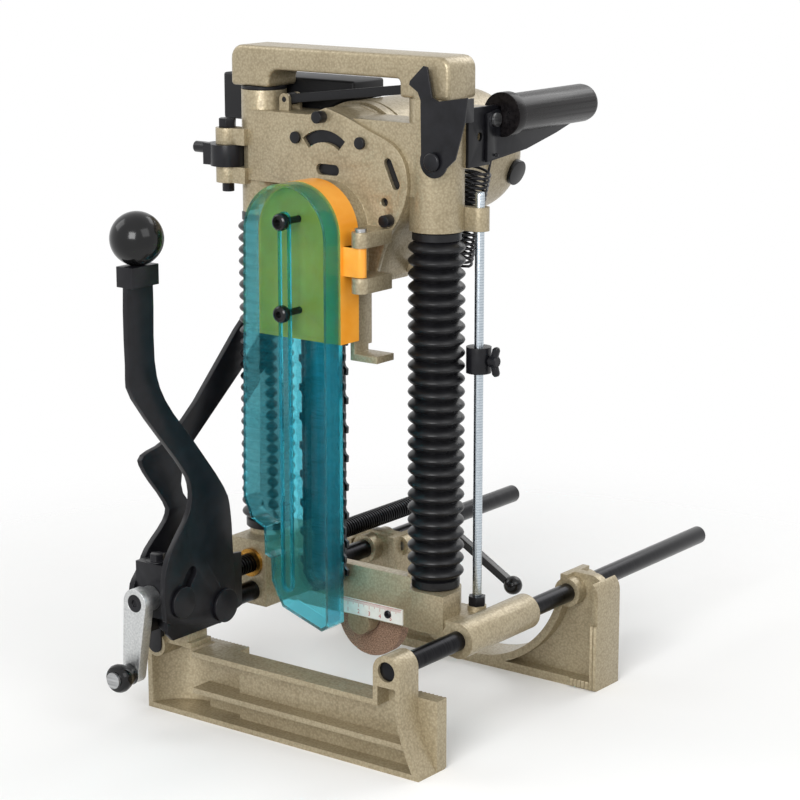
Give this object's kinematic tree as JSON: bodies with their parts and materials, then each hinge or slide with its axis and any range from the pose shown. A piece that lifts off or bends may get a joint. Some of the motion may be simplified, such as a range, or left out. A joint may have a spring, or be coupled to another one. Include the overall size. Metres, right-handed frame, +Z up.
{
  "type": "chain mortiser",
  "caption": "Chain mortiser with a two-jaw clamp, a cross-feed carriage on guide rods and a spring-held motor head that plunges a guarded saw chain into timber",
  "frame": {"origin": "centre of the front jaw's foot, on the bench", "axes": "+Z up, -Y to the front where the crank is, +X to the right seen from the front"},
  "size_m": [0.286, 0.509, 0.487],
  "materials": {
    "casting": "champagne hammered paint, half gloss",
    "black_steel": "black satin paint",
    "black_plastic": "black, glossy",
    "steel": "turned and ground steel",
    "black_oxide": "ground steel, black oxide",
    "zinc": "bright zinc plate",
    "bronze": "turned bronze",
    "aluminium": "cast aluminium",
    "ruler_white": "white enamel with red marks",
    "grit": "bonded brown grit, matt",
    "rubber": "moulded black rubber",
    "orange": "amber paint, half gloss",
    "guard_plastic": "clear blue moulded plastic"
  },
  "bodies": {
    "frame": {"front_jaw": "casting", "right_guide_rod": "black_oxide", "lever_bracket": "black_steel", "thrust_block": "steel", "bracket_bolt": "steel", "clamp_pin": "steel", "shoulder_pins": "steel"},
    "clamp_lever": {"clamp_lever": "black_steel", "clamp_lever_ball": "black_plastic"},
    "release_lever": {"release_lever": "black_steel"},
    "clamp_rod": {"clamp_rod": "black_oxide"},
    "rear_jaw": {"rear_jaw": "casting", "rear_lock_pin": "steel"},
    "rear_lock": {"rear_lock_lever": "black_plastic"},
    "crank": {"crank_arm": "aluminium", "crank_screw": "black_steel", "knob_pin": "steel", "lead_screw": "black_oxide"},
    "crank_knob": {"crank_knob": "black_plastic"},
    "carriage": {"carriage": "casting", "feed_nut": "bronze", "right_column": "steel", "left_column": "steel", "ruler": "ruler_white", "depth_rod": "zinc", "depth_rod_nut": "zinc", "stone_spindle": "steel", "right_bellows": "rubber", "left_bellows": "rubber", "column_springs": "steel"},
    "depth_stop": {"depth_collar": "black_steel"},
    "wing_bolt": {"wing_bolt": "steel"},
    "grindstone": {"grindstone": "grit"},
    "head": {"head_casting": "casting", "gear_plate": "casting", "plate_screws": "black_oxide", "guide_bar": "steel", "bar_bolt": "steel", "saw_chain": "steel", "motor_housing": "casting", "stator": "steel", "brush_caps": "black_plastic", "top_handle": "casting", "switch_housing": "black_plastic", "side_grip": "black_plastic", "grip_bracket": "black_steel", "squeeze_pin": "steel", "grip_spring": "black_oxide", "lock_plate_screw": "steel", "latch_bolt": "steel", "hinge_pin": "steel"},
    "sprocket": {"sprocket": "steel"},
    "armature": {"armature": "steel"},
    "switch_lever": {"switch_lever": "black_plastic"},
    "squeeze_lever": {"squeeze_lever": "black_steel"},
    "lock_plate": {"lock_plate": "black_steel"},
    "latch_lever": {"latch_lever": "black_steel"},
    "cover": {"chain_cover": "orange", "cover_knobs": "black_plastic"},
    "guard": {"chain_guard": "guard_plastic"}
  },
  "joints": [
    {"name": "clamp_lever_swing", "type": "hinge", "parent": "frame", "child": "clamp_lever", "pos_m": [-0.0805, 0.016, 0.08], "axis": [1, 0, 0], "range_deg": [-4, 24]},
    {"name": "clamp_rod_slide", "type": "slide", "parent": "frame", "child": "clamp_rod", "axis": [0, 1, 0], "range_m": [-0.0053, 0.001]},
    {"name": "release_lever_swing", "type": "hinge", "parent": "frame", "child": "release_lever", "pos_m": [-0.1155, -0.03, 0.094], "axis": [1, 0, 0], "range_deg": [0, 12]},
    {"name": "rear_jaw_slide", "type": "slide", "parent": "clamp_rod", "child": "rear_jaw", "axis": [0, 1, 0], "range_m": [-0.05, 0.15]},
    {"name": "rear_lock_swing", "type": "hinge", "parent": "rear_jaw", "child": "rear_lock", "pos_m": [-0.069, 0.246, 0.079], "axis": [0, 1, 0], "range_deg": [-40, 10]},
    {"name": "crank_turn", "type": "hinge", "parent": "frame", "child": "crank", "pos_m": [-0.098, -0.05, 0.0965], "axis": [0, 1, 0], "range_deg": [0, 3600]},
    {"name": "carriage_slide", "type": "slide", "parent": "frame", "child": "carriage", "axis": [0, 1, 0], "range_m": [0, 0.05]},
    {"name": "crank_knob_spin", "type": "hinge", "parent": "crank", "child": "crank_knob", "pos_m": [-0.10375, -0.068, 0.0418], "axis": [0, 1, 0], "continuous": true},
    {"name": "depth_stop_slide", "type": "slide", "parent": "carriage", "child": "depth_stop", "axis": [0, 0, -1], "range_m": [-0.075, 0.16]},
    {"name": "wing_bolt_turn", "type": "hinge", "parent": "depth_stop", "child": "wing_bolt", "pos_m": [0.09, 0.117, 0.2695], "axis": [1, 0, 0], "range_deg": [0, 360]},
    {"name": "grindstone_spin", "type": "hinge", "parent": "carriage", "child": "grindstone", "pos_m": [-0.0035, 0.1, 0.0647], "axis": [0, 1, 0], "continuous": true},
    {"name": "head_plunge", "type": "slide", "parent": "carriage", "child": "head", "axis": [0, 0, -1], "range_m": [0, 0.074], "stiffness_N_per_m": 700, "springref_m": -0.25, "deforming": ["right_bellows", "left_bellows", "column_springs"]},
    {"name": "sprocket_spin", "type": "hinge", "parent": "head", "child": "sprocket", "pos_m": [-0.025, 0.09, 0.36], "axis": [0, 1, 0], "continuous": true},
    {"name": "armature_spin", "type": "hinge", "parent": "head", "child": "armature", "pos_m": [-0.03, 0.19, 0.4], "axis": [0, 1, 0], "continuous": true},
    {"name": "switch_lever_squeeze", "type": "hinge", "parent": "head", "child": "switch_lever", "pos_m": [-0.08, 0.1015, 0.448], "axis": [0, -1, 0], "range_deg": [0, 2], "stiffness_Nm_per_rad": 2, "springref_deg": -2.86},
    {"name": "squeeze_lever_swing", "type": "hinge", "parent": "head", "child": "squeeze_lever", "pos_m": [0.0777, 0.137, 0.44], "axis": [1, 0, 0], "range_deg": [0, 4], "stiffness_Nm_per_rad": 5, "springref_deg": -8.59, "deforming": ["grip_spring"]},
    {"name": "lock_plate_swing", "type": "hinge", "parent": "head", "child": "lock_plate", "pos_m": [0.068, 0.078, 0.415], "axis": [0, 1, 0], "range_deg": [-15, 8]},
    {"name": "latch_lever_swing", "type": "hinge", "parent": "head", "child": "latch_lever", "pos_m": [-0.125, 0.082, 0.4053], "axis": [0, 0, 1], "range_deg": [-30, 30]},
    {"name": "cover_swing", "type": "hinge", "parent": "head", "child": "cover", "pos_m": [0.025, 0.05, 0.3435], "axis": [0, 0, 1], "range_deg": [0, 110]},
    {"name": "guard_slide", "type": "slide", "parent": "cover", "child": "guard", "axis": [0, 0, 1], "range_m": [0, 0.13]}
  ],
  "couplings": [
    {"joint": "clamp_rod_slide", "follows": "clamp_lever_swing", "m_per_rad": -0.011},
    {"joint": "crank_turn", "follows": "carriage_slide", "rad_per_m": 1256.6},
    {"joint": "sprocket_spin", "follows": "armature_spin", "ratio": -0.3333}
  ]
}
